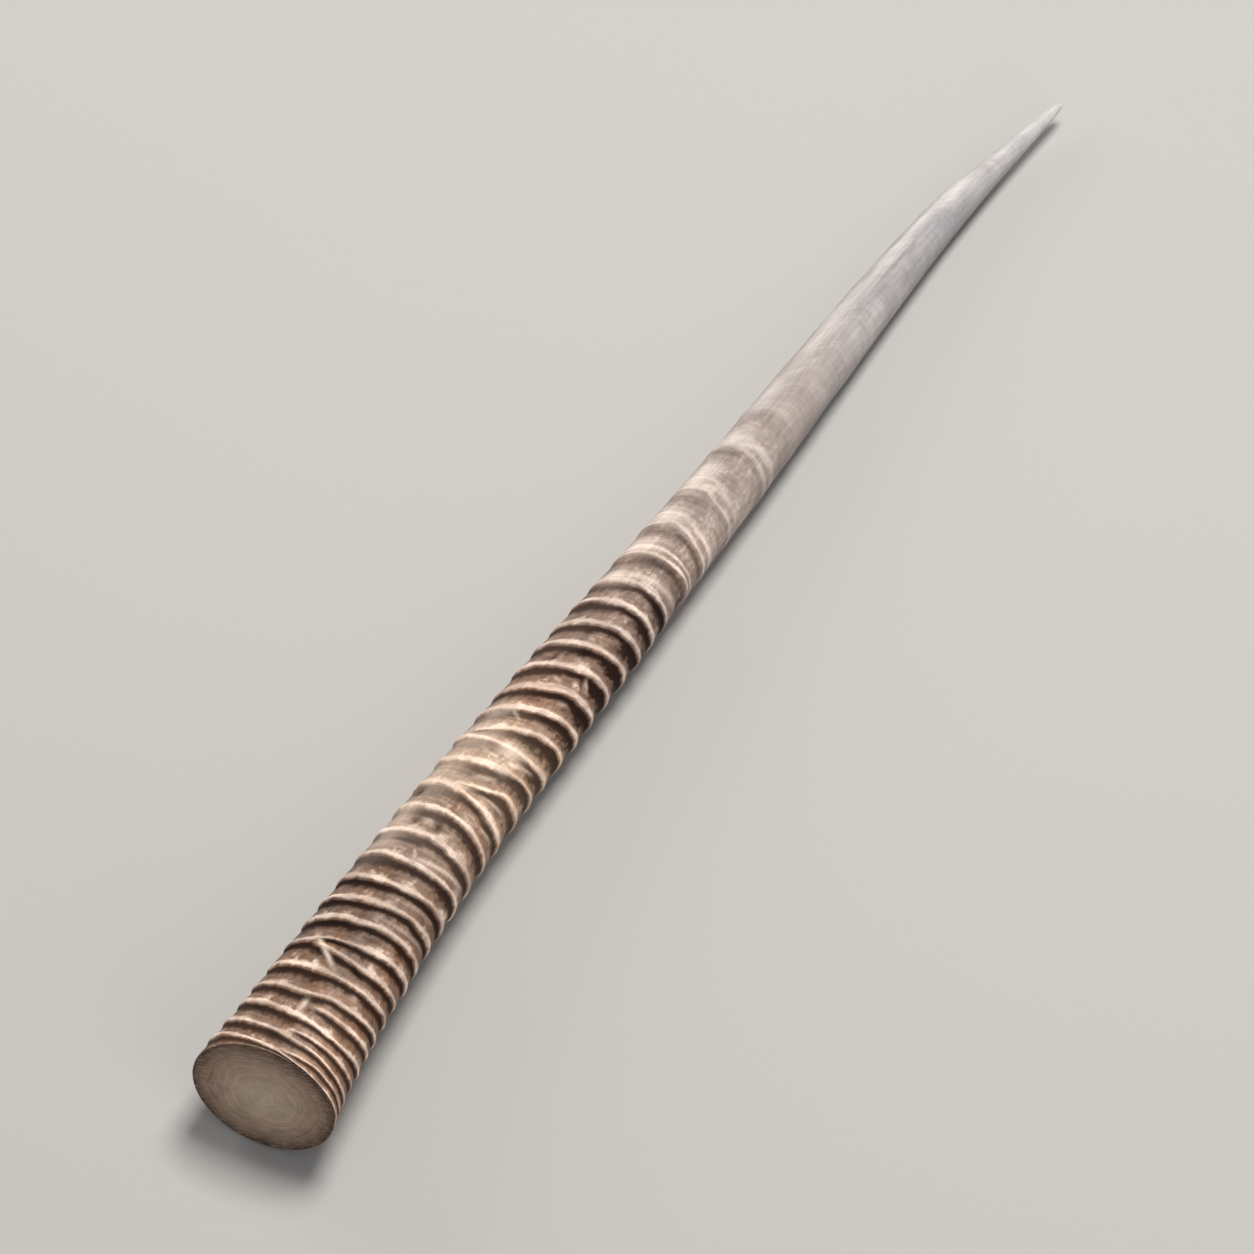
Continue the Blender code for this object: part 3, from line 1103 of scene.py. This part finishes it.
def crest_to_crest(finish, place, even_side):
    """How rubbed the horn is from one crest to the next, and how strong the rings are."""
    ragged = finish.times(finish.centred(finish.noise(place, *RAGGED_NOISE)), RAGGED)
    way, strength = way_between(finish, "ring_wave", ragged)
    fork_way, forked = way_between(finish, "fork_wave", ragged)
    line = finish.mix(even_side, finish.ramp(way, OPEN_LINE), finish.ramp(way, EVEN_LINE))
    line = finish.mix(forked, line, finish.ramp(fork_way, OPEN_LINE))
    second = finish.range(strength, *SECOND_LINES)
    return finish.mix(second, line, finish.ramp(way, SECOND_LINE)), strength


print("The lines are drawn in", len(OPEN_LINE), "steps from crest to crest")

# %% [markdown]
# The number is then mottled with specks and clumps, on the band but neither down in the groove nor on
# the crest, so that their edges stay soft and even. The grime and painted shade of the low inner side
# pull the band down, and the last ring is almost worn away.

# %% Mottle, grime and wear
# how much the grime and painted shade of the low inner side darken the band
GRIME_AND_SHADE_TAKES = 0.20
LAST_RING_AT = (0.600, 0.645)  # the shares of the length between which it wears away
LAST_RING_EVENED = 0.85
PLAIN_BAND = 0.50


def rubbed_and_lit_share(finish, share, line, mottle, grime_and_shade):
    """How rubbed and lit each spot is: 0 is dirt and painted shade, and 1 a clean crest."""
    on_band = finish.times(line, finish.maths("SUBTRACT", 1.0, line), 4.0)  # 0 on the crest and in dirt and painted shade
    rubbed_and_lit = finish.maths("MULTIPLY_ADD", mottle, on_band, line)
    rubbed_and_lit = finish.maths("SUBTRACT", rubbed_and_lit, finish.times(grime_and_shade, GRIME_AND_SHADE_TAKES, on_band))
    evened = finish.range(share, *LAST_RING_AT, 0.0, LAST_RING_EVENED)
    return finish.maths("MULTIPLY_ADD", finish.maths("SUBTRACT", PLAIN_BAND, rubbed_and_lit), evened, rubbed_and_lit)


print("The last ring keeps", round(1.0 - LAST_RING_EVENED, 2), "of its lines")

# %% [markdown]
# ## The band between the lines
#
# Its colour follows the length of the horn, from one ramp. Near the base, painted light makes the side
# between about 110 and 165 degrees a little lighter. Blurred patches then make it greyer in some places
# and warmer in others, and painted warm light makes the inner side of the ringed part warmer and a
# little lighter.

# %% The colour of the band
BAND_COLOURS = (
    # share of the length, and the colour between the lines there
    (0.00, srgb(130, 104, 87)),
    (0.07, srgb(125, 100, 84)),
    (0.12, srgb(118, 94, 79)),
    (0.16, srgb(112, 90, 76)),
    (0.20, srgb(132, 111, 97)),
    (0.235, srgb(144, 121, 105)),
    (0.275, srgb(165, 140, 121)),
    (0.31, srgb(162, 136, 116)),
    (0.345, srgb(134, 109, 94)),
    (0.44, srgb(130, 109, 97)),
    (0.475, srgb(137, 119, 108)),
    (0.52, srgb(160, 143, 133)),
    (0.62, srgb(156, 143, 136)),
    (0.72, srgb(164, 156, 153)),
    (0.88, srgb(166, 162, 162)),
    (0.93, srgb(176, 172, 171)),
    (1.00, srgb(196, 192, 190)),
)
NEAR_BASE = (0.24, 0.14)  # shares of the length, as every place along the horn in these cells
# painted light, which makes the even side a little lighter near the base
EVEN_SIDE_PAINTED_LIGHT = srgb(255, 245, 236)
EVEN_SIDE_LIGHT_SHARE = 0.055
PATCH_NOISE = ((26.0, 60.0, 60.0), 4.0, 0.6)
GREY_PATCHES = (0.50, 0.68)  # where that noise is high
WARM_PATCHES = (0.48, 0.34)  # and where it is low
WARM_PATCHES_END = (0.55, 0.42)
GREYED = srgb(240, 243, 247)
WARMED = srgb(255, 241, 228)
# painted warm light on the inner side of the ringed part, which makes it warmer and a little lighter
INNER_FROM = (-0.011, -0.023)  # how far out the inner side begins and is full, in metres
INNER_ENDS = (0.46, 0.36)
INNER_LIGHTER = 0.12
GREY_SPOT = srgb(138, 137, 140)
GREY_SPOT_SHARE = 0.4


def band_colour(finish, place, share, outwards, even_side, grey):
    """The colour between the lines, along the horn and round it, with painted light on two of its sides."""
    band = finish.ramp(share, BAND_COLOURS)
    lighter = finish.mix(1.0, band, EVEN_SIDE_PAINTED_LIGHT, "ADD")
    near_base = finish.range(share, *NEAR_BASE)
    band = finish.mix(finish.times(even_side, near_base, EVEN_SIDE_LIGHT_SHARE), band, lighter)
    greyed = finish.mix(1.0, band, GREYED, "MULTIPLY")
    warmed = finish.mix(1.0, band, WARMED, "MULTIPLY")
    patch = finish.noise(place, *PATCH_NOISE)
    band = finish.mix(finish.range(patch, *GREY_PATCHES), band, greyed)
    warm = finish.times(finish.range(patch, *WARM_PATCHES), finish.range(share, *WARM_PATCHES_END))
    band = finish.mix(warm, band, warmed)
    inner = finish.times(finish.range(outwards, *INNER_FROM), finish.range(share, *INNER_ENDS))
    band = finish.mix(inner, band, warmed)
    band = finish.toned(band, finish.maths("MULTIPLY_ADD", inner, INNER_LIGHTER, 1.0))
    return finish.mix(finish.times(grey, GREY_SPOT_SHARE), band, GREY_SPOT)


print(len(BAND_COLOURS), "band colours along the horn")

# %% [markdown]
# ## Grooves, crests and marks
#
# Dirt and painted shade lie in the grooves, and a clean crest stands above. Both thin out where the rings
# do. Over them come the marks that are stored on the mesh, and painted highlights along the upper outer
# side.

# %% Put the groove, the crest and the marks over the band
CREST_COLOURS = (
    (0.00, srgb(240, 217, 199)),
    (0.07, srgb(236, 213, 195)),
    (0.13, srgb(220, 198, 182)),
    (0.19, srgb(238, 216, 199)),
    (0.26, srgb(246, 221, 200)),
    (0.40, srgb(237, 215, 199)),
    (0.46, srgb(220, 201, 188)),
    (0.50, srgb(228, 211, 200)),
    (0.62, srgb(200, 190, 184)),
    (0.80, srgb(194, 188, 185)),
    (1.00, srgb(208, 204, 202)),
)
# the grooves' colour along the horn: old dirt, painted darker as the shade in them
GROOVE_COLOURS = (
    (0.00, srgb(37, 16, 6)),
    (0.14, srgb(31, 12, 4)),
    (0.30, srgb(38, 18, 10)),
    (0.44, srgb(39, 21, 15)),
    (0.52, srgb(78, 60, 51)),
    (1.00, srgb(120, 112, 108)),
)
CLEAN = (0.50, 0.98)  # from which rubbed and lit share up to which the crest shows more and more
CLEAN_CLUMPS = 0.8  # how much the clumps make of that
RINGS_SHOW = (0.05, 0.40)  # how strong the rings are where crests begin to show, and where all do
CREST_NOISE = ((60.0, 70.0, 70.0), 4.0, 0.6)
CREST_PATCHES = (0.38, 0.62, 0.46, 1.0)  # this noise, from and to, and how much of the crest is left
SMOKE_COLOUR = srgb(100, 84, 76)
SMOKE_SHARE = 0.5
PALE_SHARE = 0.75
DARKENS = srgb(140, 122, 112)


def marked_colour(finish, place, share, band, rubbed_and_lit, clump, strength, dirty_and_shaded):
    """The band with its grooves of dirt and painted shade, its crests, its painted highlights and the marks
    that are stored on the mesh.
    """
    pale, dark = finish.stored("marks")[:2]
    smoke, bright = finish.stored("stains_shade_and_highlights")[:2]
    thick = finish.maths("MULTIPLY_ADD", clump, CLEAN_CLUMPS, rubbed_and_lit)
    patchy = finish.range(finish.noise(place, *CREST_NOISE), *CREST_PATCHES)
    clean = finish.times(finish.range(thick, *CLEAN), finish.range(strength, *RINGS_SHOW), patchy)
    crest = finish.ramp(share, CREST_COLOURS)
    colour = finish.mix(dirty_and_shaded, band, finish.ramp(share, GROOVE_COLOURS))
    colour = finish.mix(finish.times(smoke, SMOKE_SHARE), colour, SMOKE_COLOUR)
    # painted highlights, in the crests' colour
    colour = finish.mix(bright, colour, crest)
    colour = finish.mix(clean, colour, crest)
    colour = finish.mix(finish.times(pale, PALE_SHARE), colour, crest)
    return finish.mix(dark, colour, finish.mix(1.0, colour, DARKENS, "MULTIPLY"))


print(len(CREST_COLOURS), "crest colours and", len(GROOVE_COLOURS), "groove colours")

# %% [markdown]
# ## The finished keratin
#
# Last come fibres along the horn, growth lines round it, and clouds, each of which makes the colour a
# little lighter and darker. Grooves are dull with dirt, and crests and the smooth part are rubbed. The
# growth lines, the fibres and the mottle are so fine that bumps do for their relief.

# %% The keratin
FIBRES = ((60.0, 1000.0, 1000.0), 3.0, 0.62)
GROWTH_LINES = ((620.0, 30.0, 30.0), 4.0, 0.62)
CLOUDS = ((70.0, 45.0, 45.0), 4.0, 0.6)
SPECKS = ((420.0, 480.0, 480.0), 3.0, 0.6)
CLUMPS = ((110.0, 130.0, 130.0), 3.0, 0.6)
MOTTLE = 0.8
DIRTY_AND_SHADED = (0.40, 0.02)  # from which rubbed and lit share down to which dirt and painted shade cover more and more
BAND_TONES = (0.15, 0.75, 0.76, 1.24)  # how rubbed and lit it is, from and to, and the tone there: painted shade darkens the band towards the groove
FIBRE_TONES = (0.32, 0.68, 0.90, 1.09)  # the noise, from and to, and the tone there
CLOUD_TONES = (0.34, 0.66, 0.90, 1.09)
GROWTH_TONES = (0.34, 0.66, -1.0, 1.0)
GROWTH_SHOWS = (0.50, 0.66, 0.15, 0.055)  # how far along, from and to, and how much those tones show
ROUGHNESS = 0.48
DIRT_ROUGHENS = 0.36
SPECKS_ROUGHEN = 0.30
SPECULAR = 0.12
KERATIN_IOR = 1.54
GROWTH_RELIEF = (0.00030, 0.8)  # the height of the bumps in metres, and their strength
FIBRE_RELIEF = (0.00022, 0.8)
MOTTLE_RELIEF = (0.00045, 0.7)


def keratin():
    """Ringed, fibrous horn, from brown and dirty at the base, with painted shade in its grooves, to pale
    and clean at the point.
    """
    finish = Finish("keratin")
    place = finish.add("ShaderNodeAttribute", attribute_name="straight").outputs["Vector"]
    how_far, outwards, upwards = finish.stored("straight")
    share = finish.maths("DIVIDE", how_far, HORN_LENGTH)
    grey = finish.stored("marks")[2]
    groove_dirt_and_shade = finish.stored("stains_shade_and_highlights")[2]
    grime_and_shade, even_side, grown = finish.stored("wear_and_shade")
    grown_place = finish.add("ShaderNodeCombineXYZ", {0: grown, 1: outwards, 2: upwards}).outputs[0]
    fibre = finish.noise(place, *FIBRES)
    growth = finish.noise(grown_place, *GROWTH_LINES)
    cloud = finish.noise(grown_place, *CLOUDS)
    speck = finish.centred(finish.noise(place, *SPECKS))
    clump = finish.centred(finish.noise(place, *CLUMPS))
    mottle = finish.maths("MULTIPLY_ADD", speck, MOTTLE, finish.times(clump, MOTTLE))

    line, strength = crest_to_crest(finish, place, even_side)
    rubbed_and_lit = rubbed_and_lit_share(finish, share, line, mottle, grime_and_shade)
    # how much the grooves' dirt and painted shade cover
    dirty_and_shaded = finish.times(finish.range(rubbed_and_lit, *DIRTY_AND_SHADED), groove_dirt_and_shade)
    band = band_colour(finish, place, share, outwards, even_side, grey)
    # painted shade: the band is darker towards the groove and lighter towards the crest
    band = finish.toned(band, finish.range(rubbed_and_lit, *BAND_TONES))
    colour = marked_colour(finish, place, share, band, rubbed_and_lit, clump, strength, dirty_and_shaded)
    lined = finish.range(share, *GROWTH_SHOWS)
    growth_tone = finish.maths("MULTIPLY_ADD", finish.range(growth, *GROWTH_TONES), lined, 1.0)
    colour = finish.toned(colour, growth_tone)
    colour = finish.toned(colour, finish.range(fibre, *FIBRE_TONES))
    colour = finish.toned(colour, finish.range(cloud, *CLOUD_TONES))
    finish.connect(finish.shader.inputs["Base Color"], colour)

    rough = finish.maths("MULTIPLY_ADD", dirty_and_shaded, DIRT_ROUGHENS, ROUGHNESS)
    rough = finish.maths("ADD", rough, finish.times(speck, SPECKS_ROUGHEN))
    finish.connect(finish.shader.inputs["Roughness"], rough)
    finish.shader.inputs["Specular IOR Level"].default_value = SPECULAR
    finish.shader.inputs["IOR"].default_value = KERATIN_IOR
    relief = finish.bump(growth, *GROWTH_RELIEF)
    relief = finish.bump(fibre, *FIBRE_RELIEF, relief)
    relief = finish.bump(mottle, *MOTTLE_RELIEF, relief)
    finish.connect(finish.shader.inputs["Normal"], relief)
    return finish.material


horn.data.materials.append(keratin())
print("Keratin is on the horn")

# %% [markdown]
# ## The sawn base
#
# The horn is sawn off flat at its base. A sawn face is duller than the outside, shows the horn's layers
# as rings round its middle, like a tree's, and keeps the saw's straight scratches. It is a separate
# material on the faces of the cut, which are picked out by their place: they lie in the plane of the
# cut.

# %% The sawn keratin
SAWN_COLOURS = (
    # share of the way from the middle to the edge
    (0.00, srgb(196, 176, 156)),
    (0.42, srgb(186, 163, 142)),
    (0.74, srgb(160, 134, 114)),
    (0.90, srgb(126, 101, 84)),
    (0.98, srgb(84, 63, 51)),
)
WANDER_SCALES = (0.0, 90.0, 90.0)
LAYERS = 34.0
LAYERS_WANDER = 0.20
COLOURS_WANDER = 0.25
LAYER_TONES = (0.32, 0.68, -0.34, 0.17)
LAYERS_SHOW = (0.10, 0.85, 0.35, 1.0)  # the layers are clearer towards the edge
BLOTCHES = ((0.0, 130.0, 130.0), 4.0, 0.65)
BLOTCH_TONES = (0.34, 0.66, 0.88, 1.09)
PORES = ((0.0, 1400.0, 1400.0), 2.0, 0.6)
SCRATCHES = ((0.0, 160.0, 2600.0), 2.0, 0.5)
SCRATCHES_SHOW = (0.52, 0.68)
SCRATCH_COLOUR = srgb(196, 178, 162)
SCRATCH_SHARE = 0.42
SAWN_ROUGHNESS = 0.72
SAWN_SPECULAR = 0.3
SCRATCH_RELIEF = (0.00025, 0.8)
LAYER_RELIEF = (0.0003, 0.6)
PORE_RELIEF = (0.00015, 0.6)


def sawn_keratin():
    """A sawn face: layers round its middle, pores, and the saw's scratches."""
    finish = Finish("sawn keratin")
    place = finish.add("ShaderNodeAttribute", attribute_name="straight").outputs["Vector"]
    distance = finish.add("ShaderNodeVectorMath", {0: place}, operation="LENGTH").outputs["Value"]
    share = finish.maths("DIVIDE", distance, float(floor_radius(0.0)))
    wander = finish.noise(place, WANDER_SCALES)
    layered = finish.times(finish.maths("ADD", share, finish.times(wander, LAYERS_WANDER)), LAYERS)
    layers = finish.noise(finish.add("ShaderNodeCombineXYZ", {0: layered}).outputs[0], (1.0, 1.0, 1.0))
    pores = finish.noise(place, *PORES)
    scratch = finish.noise(place, *SCRATCHES)

    shifted = finish.times(finish.centred(wander), COLOURS_WANDER)
    colour = finish.ramp(finish.maths("ADD", share, shifted), SAWN_COLOURS)
    clearer = finish.range(share, *LAYERS_SHOW)
    layer_tone = finish.maths("MULTIPLY_ADD", finish.range(layers, *LAYER_TONES), clearer, 1.0)
    colour = finish.toned(colour, layer_tone)
    colour = finish.toned(colour, finish.range(finish.noise(place, *BLOTCHES), *BLOTCH_TONES))
    pale = finish.times(finish.range(scratch, *SCRATCHES_SHOW), SCRATCH_SHARE)
    colour = finish.mix(pale, colour, SCRATCH_COLOUR)
    finish.connect(finish.shader.inputs["Base Color"], colour)
    finish.shader.inputs["Roughness"].default_value = SAWN_ROUGHNESS
    finish.shader.inputs["Specular IOR Level"].default_value = SAWN_SPECULAR
    relief = finish.bump(scratch, *SCRATCH_RELIEF)
    relief = finish.bump(layers, *LAYER_RELIEF, relief)
    relief = finish.bump(pores, *PORE_RELIEF, relief)
    finish.connect(finish.shader.inputs["Normal"], relief)
    return finish.material


horn.data.materials.append(sawn_keratin())
print("The horn has", len(horn.data.materials), "materials")

# %% Put it on the faces of the cut
ON_CUT = 0.0001  # a face whose middle is this close to the plane of the cut is part of it

cut_normal = Vector(cut_mount["axis"])
on_cut = 0
for face in horn.data.polygons:
    if abs((face.center - CUT_CENTRE).dot(cut_normal)) < ON_CUT:
        face.material_index = 1
        on_cut += 1
print(on_cut, "faces are sawn")

# %% [markdown]
# ## Into the frame
#
# The finished horn stands for the measured one, and rides on the only body.

# %% Put the horn in the frame
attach(horn, "root")
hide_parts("horn")
print("Triangles:", sum(len(face.vertices) - 2 for face in horn.data.polygons))

# %% [markdown]
# ## Floor, light and camera
#
# A plain pale floor, and soft light as in a studio. The key light stands high above the horn and a
# little towards its point, so that it rakes over the rings and leaves the sides of them that face the
# base in shade. A fill light on the camera's side softens that, and an edge light shows the outer side.
# The camera looks down on the horn and along it from the base end, so that the horn crosses the picture
# as it does in the photograph.

# %% The floor
FLOOR_SIZE = 8.0
FLOOR_COLOUR = srgb(176, 174, 171)
FLOOR_ROUGHNESS = 0.85

bpy.ops.object.select_all(action="DESELECT")
bpy.ops.mesh.primitive_plane_add(size=FLOOR_SIZE, location=(0.0, 0.0, 0.0))
ground = bpy.context.object
ground.name = "floor"
floor_finish = Finish("pale floor")
floor_finish.shader.inputs["Base Color"].default_value = FLOOR_COLOUR
floor_finish.shader.inputs["Roughness"].default_value = FLOOR_ROUGHNESS
ground.data.materials.append(floor_finish.material)
print("The floor is", FLOOR_SIZE, "m wide")

# %% The lights
LIGHTS = (
    # its name, the way to it from the horn, how far it is, its size, its power and its colour
    ("key light", (0.25, -0.02, 0.92), 2.6, 1.0, 74.0, (1.0, 0.97, 0.93)),
    ("fill light", (-0.50, -0.9, 0.55), 2.4, 1.6, 13.0, (0.96, 0.98, 1.0)),
    ("edge light", (0.15, 0.95, 0.40), 1.8, 0.8, 8.0, (1.0, 0.98, 0.96)),
)
SKY_COLOUR = (0.93, 0.95, 1.0, 1.0)
SKY_STRENGTH = 0.25


def area_light(name, towards, distance, size, power, colour):
    """A soft square light that shines at the middle of the horn."""
    bpy.ops.object.light_add(type="AREA", location=Vector(towards).normalized() * distance)
    lamp = bpy.context.object
    lamp.name = name
    lamp.data.size = size
    lamp.data.energy = power
    lamp.data.color = colour
    lamp.rotation_euler = Vector(towards).to_track_quat("Z", "Y").to_euler()


for light in LIGHTS:
    area_light(*light)
world = bpy.data.worlds.new("studio")
world.use_nodes = True
sky = world.node_tree.nodes["Background"]
sky.inputs["Color"].default_value = SKY_COLOUR
sky.inputs["Strength"].default_value = SKY_STRENGTH
bpy.context.scene.world = world
bpy.context.scene.view_settings.view_transform = "Standard"
print(len(LIGHTS), "soft lights and a pale sky")

# %% The camera
CAMERA_AZIMUTH = math.radians(-61.65)
CAMERA_HEIGHT = math.radians(51.23)
CAMERA_TURN = math.radians(3.42)  # about its line of sight, so that the horn slants as in the photograph
CAMERA_DISTANCE = 2.8
FRAME_WIDTH = 0.48  # how much of the scene the picture takes in, at the horn
SENSOR_WIDTH = 36.0
AIM = Vector((-0.0273, 0.0073, 0.009))  # near the middle of the horn

away = Vector((
    math.sin(CAMERA_AZIMUTH) * math.cos(CAMERA_HEIGHT),
    -math.cos(CAMERA_AZIMUTH) * math.cos(CAMERA_HEIGHT),
    math.sin(CAMERA_HEIGHT),
))
facing = away.to_track_quat("Z", "Y") @ Quaternion((0.0, 0.0, 1.0), CAMERA_TURN)
bpy.ops.object.camera_add(location=AIM + away * CAMERA_DISTANCE, rotation=facing.to_euler())
camera = bpy.context.object
camera.name = "camera"
camera.data.sensor_width = SENSOR_WIDTH
camera.data.lens = SENSOR_WIDTH * CAMERA_DISTANCE / FRAME_WIDTH
bpy.context.scene.camera = camera
print("The lens is", round(camera.data.lens), "mm")
